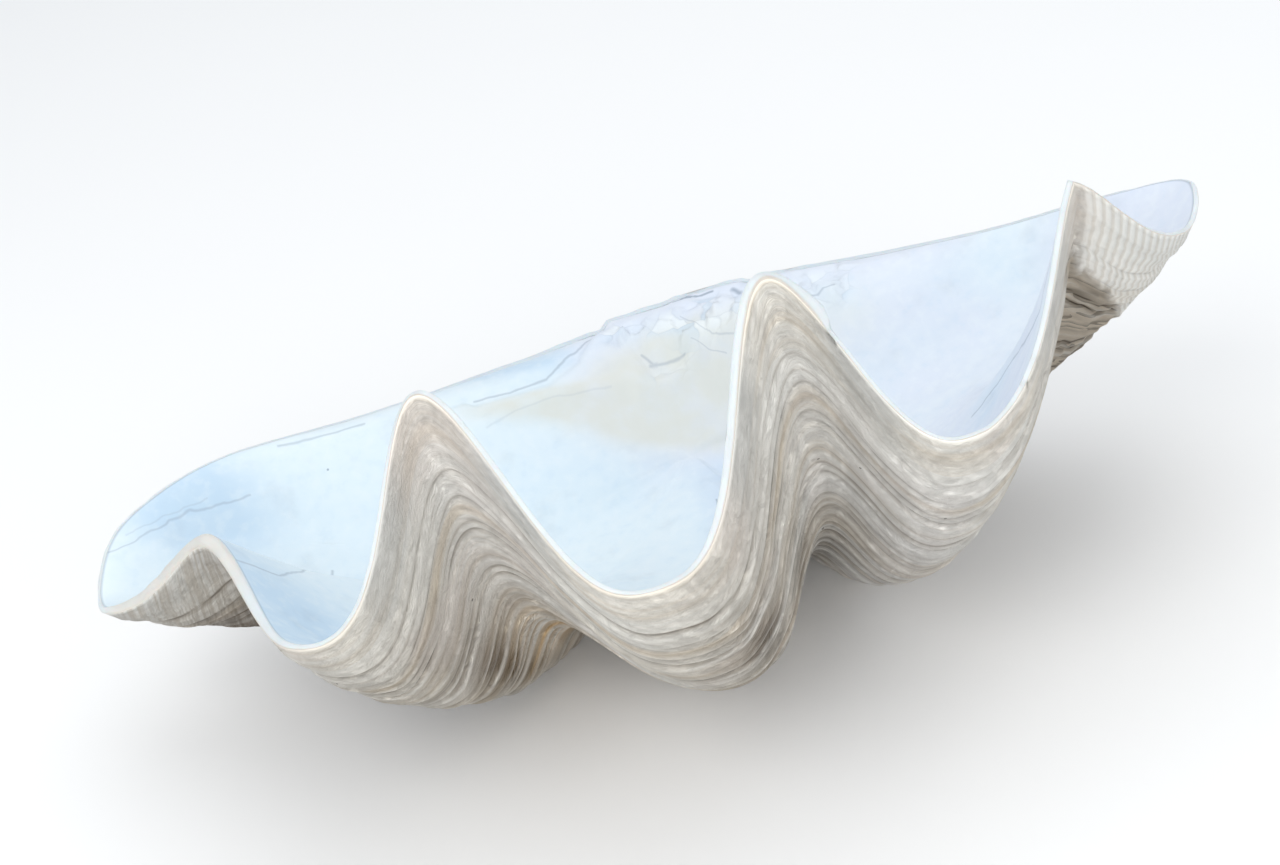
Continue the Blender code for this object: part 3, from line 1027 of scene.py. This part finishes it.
@dataclass(frozen=True)
class Crust(Finish):
    """The outside: chalky beige growth bands, with dark growth lines, painted shadows under the edges and
    painted highlights on their cream crests further down.

    wrinkle_relief is how high the wrinkles are everywhere, and what old and worn shell add to that.
    """

    name: ClassVar[str] = "crust"
    relief: ClassVar[float] = 0.9
    sockets: ClassVar[dict[str, float]] = {"Specular IOR Level": 0.25}
    pale: Colour = tint(254, 252, 245)
    sand: Colour = tint(238, 226, 207)
    rose: Colour = tint(240, 227, 220)
    grey: Colour = tint(220, 222, 220)
    lit_white: Colour = tint(254, 252, 248)
    # Dark growth lines, and painted shadow lines at the edges.
    line_and_shadow: Colour = tint(164, 150, 134)
    cream: Colour = tint(250, 246, 238)
    # A grey brown for the painted shade and staining, the worn layers, the riblets and the arch's stripes.
    soil: Colour = tint(176, 164, 147)
    brown: Colour = tint(240, 226, 206)
    # Dark brown for painted shade and shadow lines, and for specks.
    shadow_and_speck: Colour = tint(96, 83, 70)
    amber: Colour = tint(232, 192, 132)
    grit: Waves = Waves(260, 4)
    cloud: Waves = Waves(13, 3)
    chalk: Waves = Waves(75, 4)
    shake: Waves = Waves(42)
    fine: Waves = Waves(24, 3, 210, 1.6)
    broad: Waves = Waves(8, 2, 70)
    wrinkles: Waves = Waves(65, 3, 190, 2.4)
    patches: Waves = Waves(10, 2, 45)
    uneven: Waves = Waves(16, 1)
    stripes: Waves = Waves(14, 2, 30)
    stripe_way: Triple = (0.976, -0.121, -0.18)
    band_spacing: float = 0.011
    layer_spacing: float = 0.0095
    band_relief: float = 1.3 * MM
    fine_relief: float = 1.6 * MM
    wrinkle_relief: Triple = (1.6 * MM, 1.2 * MM, 4 * MM)
    layer_relief: float = 2.5 * MM
    grit_relief: float = 0.3 * MM
    riblet_relief: float = 0.6 * MM
    stripe_relief: float = 3 * MM

    def pattern(self, g: Graph, effects: Effects) -> Look:
        """Lays bands and lines of growth, then painted shade with some staining, painted light, worn layers,
        riblets and the worn arch, with painted shadows and highlights at the ledge edges.

        Lines are noise that changes fast along the growth and slowly along the rim. Each riblet is
        one sine wave of the phase. Everything is kept back close to the rim, by calm.

        Args:
            g: the material's graph.
            effects: the shared groups.

        Returns:
            The look.
        """
        place, grown = g.place(), g.read("grown")
        band, crest, foot, soil, bleached = map(g.read, ("band", "crest", "foot", "soil", "bleached"))
        fold, scales, riblets, worn, arch = map(g.read, ("fold", "scales", "riblets", "worn", "arch"))
        along = {"Place": place, "Way": grown}
        bands = g.group(effects.terraces, **along, Spacing=self.band_spacing, Wander=2.4, Wave=5.0)
        layers = g.group(effects.terraces, **along, Spacing=self.layer_spacing, Wander=3.5, Wave=9.0)
        low = layers["Height"].step(0.75, 0.05, 0, 0.7)
        specks = g.group(effects.flecks, Place=place, Density=45.0, Size=0.045)["Fleck"]
        shake, cloud = g.noise(place, self.shake), g.noise(place, self.cloud)
        fine = g.noise(place, self.fine, grown, shake)
        wrinkles = g.noise(place, self.wrinkles, grown, shake)
        stripes = g.noise(place, self.stripes, g.vector("DOT_PRODUCT", place, self.stripe_way, "Value"))
        calm, old = grown.step(0.0, 0.0025), grown.step(0.01, 0.13)
        plain = riblets.step(0, 1, 1, 0.25)
        clear = calm * plain
        lined = clear * bleached.step(0, 0.8, 1, 0.5)
        patchy = g.noise(place, self.patches, grown).step(0.38, 0.62)
        tone = band * 0.5 + bands["Tone"] * 0.25 + g.noise(place, self.broad, grown) * 0.45 + fine * 0.15
        shoulder = g.math("ABSOLUTE", fold).step(0.9, 0.2) * grown.step(0.03, 0.012) * 0.7
        crown = fold.step(0.5, 1) * grown.step(0.06, 0.03) * 0.2
        # The painted shade, broken by the fine lines and weaker at the scales.
        sheltered = g.read("sheltered") * fine.step(0.3, 0.65, 0.9, 0.45) * scales.step(0.2, 1, 1, 0.3)
        phase = g.read("phase") + (g.noise(place, self.uneven) - 0.5) * 0.6
        ribbing = g.math("SINE", phase * (2 * np.pi))
        colour = g.layers(
            self.sand,
            (tone.step(0.35, 0.95), self.pale),
            (cloud.step(0.46, 0.64) * 0.35, self.rose),
            # Painted light where the folds shade the outside.
            (bleached * tone.step(0.3, 0.9, 0.45, 1), self.lit_white),
            (shoulder, self.grey),
            # Painted shade with some brown staining on the lower parts.
            (soil * fine.step(0.3, 0.7, 0.75, 0.4), self.soil),
            (worn, self.brown),
            (worn * low * wrinkles.step(0.3, 0.6, 0.7, 1), self.soil),
            # Painted shadow line where each worn layer ends.
            (worn * layers["ShadowLine"] * 0.4, self.shadow_and_speck),
            (fine.step(0.5, 0.7) * (old * 0.15 + crown + 0.16) * lined, self.line_and_shadow),
            (wrinkles.step(0.5, 0.68) * patchy * (old * 0.22 + 0.12) * lined, self.line_and_shadow),
            # Painted shadow line where each band ends.
            (bands["ShadowLine"] * bands["Tone"].step(0.1, 0.9, 0.02, 0.22) * calm * patchy, self.line_and_shadow),
            # Painted shadow below each ledge edge, soft and then dark at the foot.
            (foot.step(0.1, 1) * (old * 0.2 + soil * 0.3 + 0.28) * (patchy * 0.65 + 0.35) * plain, self.line_and_shadow),
            (foot.step(0.66, 0.98) * patchy * (soil * 0.75 + worn * 0.3 + 0.22), self.shadow_and_speck),
            # Painted shade under the folds and ribs.
            (sheltered, self.shadow_and_speck),
            # Painted highlight on the cream crests of the edges, brighter beside the painted shade.
            (crest.step(0.45, 0.95) * (soil * 0.55 + sheltered * 0.4 + 0.3) * (patchy * 0.7 + 0.3), self.cream),
            (scales * band.step(0.35, 0.6, 0.35, 0.95), self.amber),
            (scales * crest.step(0.3, 0.9) * 0.9, self.cream),
            (specks * 0.7, self.shadow_and_speck),
            (riblets * wrinkles.step(0.4, 0.6, 0.7, 0.4), self.grey),
            (riblets * ribbing.step(0.3, -1, 0, 0.34), self.soil),
            (arch * stripes.step(0.38, 0.62, 0, 0.5), self.soil),
            # Painted shade under the arch, darker further back from the rim.
            (arch * grown.step(0.02, 0.1) * stripes.step(0.3, 0.7, 0.7, 1), self.shadow_and_speck),
        )
        everywhere, further, lower = self.wrinkle_relief
        rough = old * further + worn * lower + everywhere
        height = (
            bands["Height"] * calm * self.band_relief + layers["Height"] * worn * self.layer_relief
            + fine * clear * self.fine_relief + wrinkles * clear * rough
            + g.noise(place, self.chalk) * rough * 0.5 + g.noise(place, self.grit) * self.grit_relief
            + ribbing * riblets * self.riblet_relief + stripes * arch * self.stripe_relief
        )
        return Look(colour, cloud.step(0.3, 0.7, 0.62, 0.8), height)


@dataclass(frozen=True)
class EdgeEnamel(Finish):
    """The rim's edge: bright dense shell, beige where the arch at the left end is worn."""

    name: ClassVar[str] = "edge enamel"
    sockets: ClassVar[dict[str, float]] = {"Subsurface Weight": 0.12, "Subsurface Scale": 6 * MM}
    white: Colour = tint(236, 244, 247)
    cream: Colour = tint(230, 229, 223)
    beige: Colour = tint(230, 227, 219)
    sand: Colour = tint(219, 211, 199)
    pearl: Colour = tint(226, 237, 244)
    line: Colour = tint(158, 164, 168)
    sheets: Waves = Waves(30, 3, 9)
    sheet_relief: float = 1 * MM

    def pattern(self, g: Graph, effects: Effects) -> Look:
        """Lays thin sheets along the rim, sand at the outer border and a grey line at the inner one.

        Args:
            g: the material's graph.
            effects: the shared groups, not used here.

        Returns:
            The look.
        """
        across, arch, back = map(g.read, ("across", "arch", "back"))
        sheets = g.noise(g.place(), self.sheets, across)
        border = across.step(0.84, 1, 0, 0.6) * sheets.step(0.3, 0.6, 0.4, 1) * back.step(0, 1, 1, 0.4)
        colour = g.layers(
            self.white,
            (sheets.step(0.5, 0.7, 0, 0.4), self.cream),
            (across.step(0.45, 0.12, 0, 0.9), self.sand),
            (arch * across.step(0.95, 0.7, 0.2, 0.8), self.beige),
            (back, self.pearl),
            (border, self.line),
        )
        return Look(colour, sheets.step(0.35, 0.7, 0.32, 0.5), sheets * self.sheet_relief)


@dataclass(frozen=True)
class Hairline:
    """A thin grey line on the inside: width and strength, and places in plan over the floor, in mm."""

    width: float
    strength: float
    path: tuple[tuple[float, float], ...]


HAIRLINES = (
    Hairline(0.8, 0.35, ((-386, 80), (-356, 102), (-329, 114), (-311, 119), (-287, 124))),
    Hairline(0.6, 0.2, ((-372, 96), (-350, 108), (-335, 113), (-316, 121))),
    Hairline(1.5, 0.45, ((-274, -48), (-266, -38), (-255, -29), (-247, -2), (-241, 83))),
    Hairline(1.3, 0.5, ((252, -39), (243, -43), (233, -1), (218, 5), (205, 9))),
    Hairline(1.6, 0.45, ((-24, 216), (-42, 194), (-67, 173), (-94, 167), (-121, 164))),
    Hairline(1.2, 0.14, ((-115, 138), (-90, 147), (-60, 154), (-23, 156))),
    Hairline(1.4, 0.3, ((-60, 212), (-90, 205), (-130, 190), (-160, 178))),
    Hairline(2.0, 0.8, ((36, 216), (50, 214), (65, 212))),
    Hairline(1.6, 0.4, ((4, 176), (12, 166), (34, 164))),
    Hairline(2.6, 0.4, ((9, 167), (13, 166))),
    Hairline(3.4, 0.7, ((80, 206), (84, 202))),
    Hairline(1.0, 0.3, ((38, 197), (49, 178), (56, 170), (78, 165))),
    Hairline(0.8, 0.3, ((41, 171), (51, 162), (63, 158))),
    Hairline(1.1, 0.6, ((31, 51), (31, 34), (27, 19), (19, 2))),
    Hairline(1.1, 0.5, ((10, -8), (20, 5))),
    Hairline(1.8, 0.4, ((-200, 160), (-230, 155), (-262, 150))),
    Hairline(1.4, 0.4, ((125, 182), (136, 184), (151, 184))),
)


@dataclass(frozen=True)
class Porcelain(Finish):
    """The inside: smooth pale blue white, its blue partly the shell's own tint and partly a painted reflection
    of the sky, tan towards the hinge, with clouds, specks and hairlines.

    reliefs are the heights of its mottle, clouds, flakes, brush marks and speckle, in metres.
    """

    name: ClassVar[str] = "porcelain"
    sockets: ClassVar[dict[str, float]] = {"Specular IOR Level": 0.45}
    # The blue in white and blue is partly the shell's own tint and partly a painted reflection of the sky.
    white: Colour = tint(226, 238, 244)
    blue: Colour = tint(198, 219, 236)
    lilac: Colour = tint(222, 227, 239)
    tan: Colour = tint(218, 219, 210)
    chalk: Colour = tint(238, 244, 246)
    stain: Colour = tint(138, 152, 168)
    clouds: Waves = Waves(6, 1.5)
    washes: Waves = Waves(5)
    mottle: Waves = Waves(38, 5)
    brush: Waves = Waves(30, 4)
    speckle: Waves = Waves(110, 3)
    drawn_out: Triple = (0.6, 1.3, 1.0)
    brushed_out: Triple = (0.35, 1.0, 1.0)
    flake_scale: float = 46.0
    flake_bend: float = 20 * MM
    line_shake: float = 4 * MM
    reliefs: tuple[float, ...] = (0.6 * MM, 2 * MM, 2 * MM, 0.5 * MM, 0.25 * MM)
    lines: tuple[Hairline, ...] = HAIRLINES

    def shaken(self, g: Graph, place: Wire, scale: float, reach: Feed) -> Wire:
        """The product of coloured noise and a reach in each direction, to move a place by."""
        return g.vector("MULTIPLY", g.wire("TexNoise", {"Vector": place, "Scale": scale}, "Color"), reach)

    def drawn(self, g: Graph, place: Wire, effects: Effects) -> Feed:
        """All hairlines in one mask: the strongest of them at each place, seen from above and shaken.

        Args:
            g: the graph of the material.
            place: the place on the piece.
            effects: the shared groups.

        Returns:
            The mask.
        """
        half = self.line_shake / 2
        moved = g.vector("ADD", place, self.shaken(g, place, 60.0, (self.line_shake, self.line_shake, 0.0)))
        flat = g.vector("MULTIPLY", g.vector("SUBTRACT", moved, (half, half, 0.0)), (1.0, 1.0, 0.0))
        mask: Feed = 0.0
        for line in self.lines:
            for start, end in zip(line.path[:-1], line.path[1:]):
                way = ((end[0] - start[0]) * MM, (end[1] - start[1]) * MM, 0.0)
                begin = (start[0] * MM, start[1] * MM, 0.0)
                one = g.group(effects.hairline, Place=flat, Start=begin, Way=way, Width=line.width * MM)["Mask"]
                mask = g.math("MAXIMUM", mask, one * line.strength)
        return mask

    def pattern(self, g: Graph, effects: Effects) -> Look:
        """Lays soft washes, then the tan patch, the flaked places, the border line, hairlines and specks.

        Args:
            g: the material's graph.
            effects: the shared groups.

        Returns:
            The look.
        """
        place = g.place()
        mottle, speckle = g.noise(place, self.mottle), g.noise(place, self.speckle)
        cloud = g.noise(g.vector("MULTIPLY", place, self.drawn_out), self.clouds)
        brush = g.noise(g.vector("MULTIPLY", place, self.brushed_out), self.brush)
        sideways = g.wire("SeparateXYZ", {"Vector": place}, "X") * 0.7
        bend = (self.flake_bend,) * 3
        flake = {"Vector": g.vector("ADD", place, self.shaken(g, place, 40.0, bend)), "Scale": self.flake_scale}
        flakes = g.wire("SeparateColor", {"Color": g.wire("TexVoronoi", flake, "Color")})
        rift = g.wire("TexVoronoi", flake, "Distance", feature="DISTANCE_TO_EDGE")
        chipped = g.read("chipped").step(0.25, 0.75)
        specks = g.group(effects.flecks, Place=place, Density=26.0, Size=0.032)["Fleck"]
        colour = g.layers(
            self.white,
            ((g.read("cool") + cloud * 0.9).step(0.35, 1.15), self.blue),
            ((g.noise(place, self.washes) + sideways).step(0.44, 0.66, 0, 0.85), self.lilac),
            (brush.step(0.5, 0.72, 0, 0.14), self.chalk),
            (speckle.step(0.46, 0.7, 0, 0.2), self.chalk),
            (speckle.step(0.46, 0.26, 0, 0.18), self.blue),
            (mottle.step(0.54, 0.76, 0, 0.12), self.stain),
            (g.read("warm").step(0.05, 0.8) * mottle.step(0.3, 0.6, 0.55, 0.85), self.tan),
            (chipped * flakes.step(0.45, 0.9, 0, 0.6), self.chalk),
            (chipped * flakes.step(0.4, 0, 0, 0.5), self.blue),
            (chipped * rift.step(0.05, 0, 0, 0.12), self.stain),
            (g.read("grown").step(0.0022, 0.0003, 0, 0.4), self.stain),
            (self.drawn(g, place, effects), self.stain),
            (specks * 0.7, self.stain),
        )
        parts = (mottle, cloud, chipped * flakes, brush, speckle)
        first, *others = (part * relief for part, relief in zip(parts, self.reliefs))
        height = sum(others, first)
        return Look(colour, mottle.step(0.35, 0.7, 0.34, 0.52), height)


@dataclass(frozen=True)
class FloorPaint(Finish):
    """The floor: matt white, with faint clouds."""

    name: ClassVar[str] = "floor paint"
    sockets: ClassVar[dict[str, float]] = {"Specular IOR Level": 0.1}
    white: Colour = tint(250, 250, 250)
    grey: Colour = tint(236, 236, 236)
    clouds: Waves = Waves(3)
    roughness: float = 0.9

    def pattern(self, g: Graph, effects: Effects) -> Look:
        """Lays a trace of grey clouds over white."""
        cloud = g.noise(g.place(), self.clouds)
        return Look(g.layers(self.white, (cloud.step(0.3, 0.7, 0, 0.03), self.grey)), self.roughness)


@dataclass
class Valve:
    """The whole half shell: outside, edge and hollow in one closed skin."""

    rim_line: RimLine
    growth: Growth
    outside: GrownOutside
    edge: RimEdge
    hollow: Hollow
    pitch_degrees: float = 18.5
    lean_degrees: float = 4.3
    shift: Triple = (-14.6643, 216.4951, 145.6329)

    def lay_down(self, points: np.ndarray) -> np.ndarray:
        """Turns the rim's frame to the way the valve lies: leaned about Y, then pitched about X.

        Args:
            points: places in the frame of the rim, in metres.

        Returns:
            The places over the floor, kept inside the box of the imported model.
        """
        lean, pitch = np.radians(self.lean_degrees), np.radians(self.pitch_degrees)
        x, y, z = points.T
        x, z = x * np.cos(lean) - z * np.sin(lean), z * np.cos(lean) + x * np.sin(lean)
        y, z = y * np.cos(pitch) + z * np.sin(pitch), z * np.cos(pitch) - y * np.sin(pitch)
        low, high = np.array(CAD_BOX[0]), np.array(CAD_BOX[1])
        return np.clip(np.column_stack([x, y, z]) + np.array(self.shift) * MM, low, high)

    def skins(self) -> list[Skin]:
        """Works out the three parts of the skin.

        Returns:
            Outside, edge and hollow, in the order they follow each other from the umbo.
        """
        rim = self.rim_line.measure()
        outside = self.outside.skin(self.growth, rim)
        inner, outward = self.edge.inner(self.growth, rim, self.outside.fold_power)
        edge = self.edge.skin(rim, inner, outward)
        hollow = self.hollow.skin(self.growth, rim, inner)
        values = {name: outside.grid(name)[::-1] for name in outside.values}
        return [Skin(outside.points[::-1], values), edge, hollow]

    @staticmethod
    def slots(heights: list[int], columns: int) -> np.ndarray:
        """The material slot of each face: of its row, with the fans at the ends last.

        Args:
            heights: how many rows outside, edge and hollow have.
            columns: how many columns there are.

        Returns:
            One slot for each face.
        """
        outside, edge, hollow = heights
        parts = [Face.OUTSIDE.value, Face.EDGE.value, Face.HOLLOW.value, Face.OUTSIDE.value, Face.HOLLOW.value]
        return np.repeat(parts, np.array([outside - 1, edge + 1, hollow - 1, 1, 1]) * columns)

    def build(self) -> bpy.types.Object:
        """Joins the rows of all parts into one mesh and closes both ends with a fan.

        Returns:
            The piece.
        """
        skins = self.skins()
        rows = np.concatenate([skin.points for skin in skins])
        count, columns = rows.shape[:2]
        poles = np.array([rows[0].mean(axis=0), rows[-1].mean(axis=0)])
        points = self.lay_down(np.concatenate([rows.reshape(-1, 3), poles]))
        here = np.arange(columns)
        right = np.roll(here, -1)
        start = np.arange(count - 1)[:, None] * columns
        quads = np.stack([start + here, start + right, start + columns + right, start + columns + here], axis=2)
        first, last = np.full(columns, count * columns), np.full(columns, count * columns + 1)
        bottom = (count - 1) * columns
        fans = [np.column_stack([first, right, here]), np.column_stack([last, bottom + here, bottom + right])]
        mesh = bpy.data.meshes.new("shell_skin")
        mesh.from_pydata(points.tolist(), [], quads.reshape(-1, 4).tolist() + np.concatenate(fans).tolist())
        slots = self.slots([len(skin.points) for skin in skins], columns)
        mesh.polygons.foreach_set("material_index", slots.astype(np.int32))
        for name in sorted({name for skin in skins for name in skin.values}):
            grid = np.concatenate([skin.grid(name) for skin in skins])
            values = np.concatenate([grid.ravel(), [grid[0].mean(), grid[-1].mean()]])
            mesh.attributes.new(name, "FLOAT", "POINT").data.foreach_set("value", values.astype(np.float32))
        mesh.shade_smooth()
        piece = bpy.data.objects.new("shell_skin", mesh)
        bpy.context.scene.collection.objects.link(piece)
        return piece

    def place(self, effects: Effects) -> bpy.types.Object:
        """Builds the piece, gives each part its finish and puts it in the frame for the plain solid.

        Args:
            effects: the shared groups.

        Returns:
            The piece.
        """
        piece = self.build()
        for finish in (Crust(), EdgeEnamel(), Porcelain()):
            piece.data.materials.append(finish.material(effects))
        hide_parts("shell")
        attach(piece, "root")
        return piece


@dataclass
class Studio:
    """A plain pale floor, a pale surround and broad soft lights."""

    floor_radius: float = 30.0
    floor_corners: int = 64
    floor_paint: FloorPaint = FloorPaint()
    surround: Colour = (0.94, 0.97, 1.0, 1.0)
    surround_strength: float = 0.79
    lit_place: Triple = (0, 0, 0.15)

    def floor(self, effects: Effects) -> bpy.types.Object:
        """A flat disc at height 0: one ring of points round its middle.

        Args:
            effects: the shared groups.

        Returns:
            The floor.
        """
        angle = np.linspace(0, 2 * np.pi, self.floor_corners, endpoint=False)
        ring = np.column_stack([np.cos(angle), np.sin(angle), angle * 0]) * self.floor_radius
        mesh = bpy.data.meshes.new("floor")
        mesh.from_pydata(ring.tolist(), [], [list(range(self.floor_corners))])
        mesh.materials.append(self.floor_paint.material(effects))
        disc = bpy.data.objects.new("floor", mesh)
        bpy.context.scene.collection.objects.link(disc)
        return disc

    def light(self, name: str, place: Triple, size: float, watts: float, warmth: Triple) -> None:
        """Hangs one broad square light that faces the shell.

        Args:
            name: its name.
            place: where it hangs, in metres.
            size: its side, in metres.
            watts: its power.
            warmth: its red, green and blue.
        """
        lamp = bpy.data.lights.new(name, "AREA")
        lamp.size, lamp.energy, lamp.color = size, watts, warmth
        hung = bpy.data.objects.new(name, lamp)
        hung.location = place
        hung.rotation_euler = (Vector(self.lit_place) - Vector(place)).to_track_quat("-Z", "Y").to_euler()
        bpy.context.scene.collection.objects.link(hung)

    def build(self, effects: Effects) -> None:
        """Sets up the floor, the surround and the lights, and shows colours without a film curve.

        Args:
            effects: the shared groups.
        """
        self.floor(effects)
        world = bpy.data.worlds.new("surround")
        world.use_nodes = True
        sky = world.node_tree.nodes["Background"]
        sky.inputs["Color"].default_value = self.surround
        sky.inputs["Strength"].default_value = self.surround_strength
        bpy.context.scene.world = world
        bpy.context.scene.view_settings.view_transform = "Standard"
        self.light("key", (-1.2, -1.5, 2.2), 1.6, 19.0, (1.0, 0.985, 0.96))
        self.light("top", (0.4, 0.8, 2.6), 2.4, 13.0, (0.96, 0.98, 1.0))
        self.light("fill", (0.5, -2.5, 0.45), 2.2, 34.0, (1.0, 0.985, 0.96))


@dataclass
class Viewpoint:
    """The camera, at the photograph's angle: rolled to the right, with no shift."""

    place: Triple = (-0.0318, -1.1629, 0.8477)
    ahead: Triple = (0.0149, 0.8662, -0.4995)
    roll_degrees: float = 12.0
    view_degrees: float = 34.0

    def build(self) -> bpy.types.Object:
        """Makes the camera and the scene's own.

        Returns:
            The camera.
        """
        ahead = Vector(self.ahead).normalized()
        right = ahead.cross(Vector((0, 0, 1))).normalized()
        over = right.cross(ahead)
        turned = Matrix.Rotation(-np.radians(self.roll_degrees), 4, "Z")
        look = Matrix((right, over, -ahead)).transposed().to_4x4()
        lens = bpy.data.cameras.new("camera")
        lens.sensor_fit = "HORIZONTAL"
        lens.angle = float(np.radians(self.view_degrees))
        lens.clip_start = 0.02
        camera = bpy.data.objects.new("camera", lens)
        camera.matrix_world = Matrix.Translation(Vector(self.place)) @ look @ turned
        bpy.context.scene.collection.objects.link(camera)
        bpy.context.scene.camera = camera
        return camera


def main() -> None:
    """Builds everything in order and notes how many triangles the piece has."""
    logging.basicConfig(level=logging.INFO, format="%(name)s: %(message)s")
    effects = Effects()
    Viewpoint().build()
    Studio().build(effects)
    valve = Valve(RimLine(), Growth(), GrownOutside(), RimEdge(), Hollow())
    piece = valve.place(effects)
    piece.data.calc_loop_triangles()
    log.info("%s: %d triangles", piece.name, len(piece.data.loop_triangles))


if __name__ == "__main__":
    main()
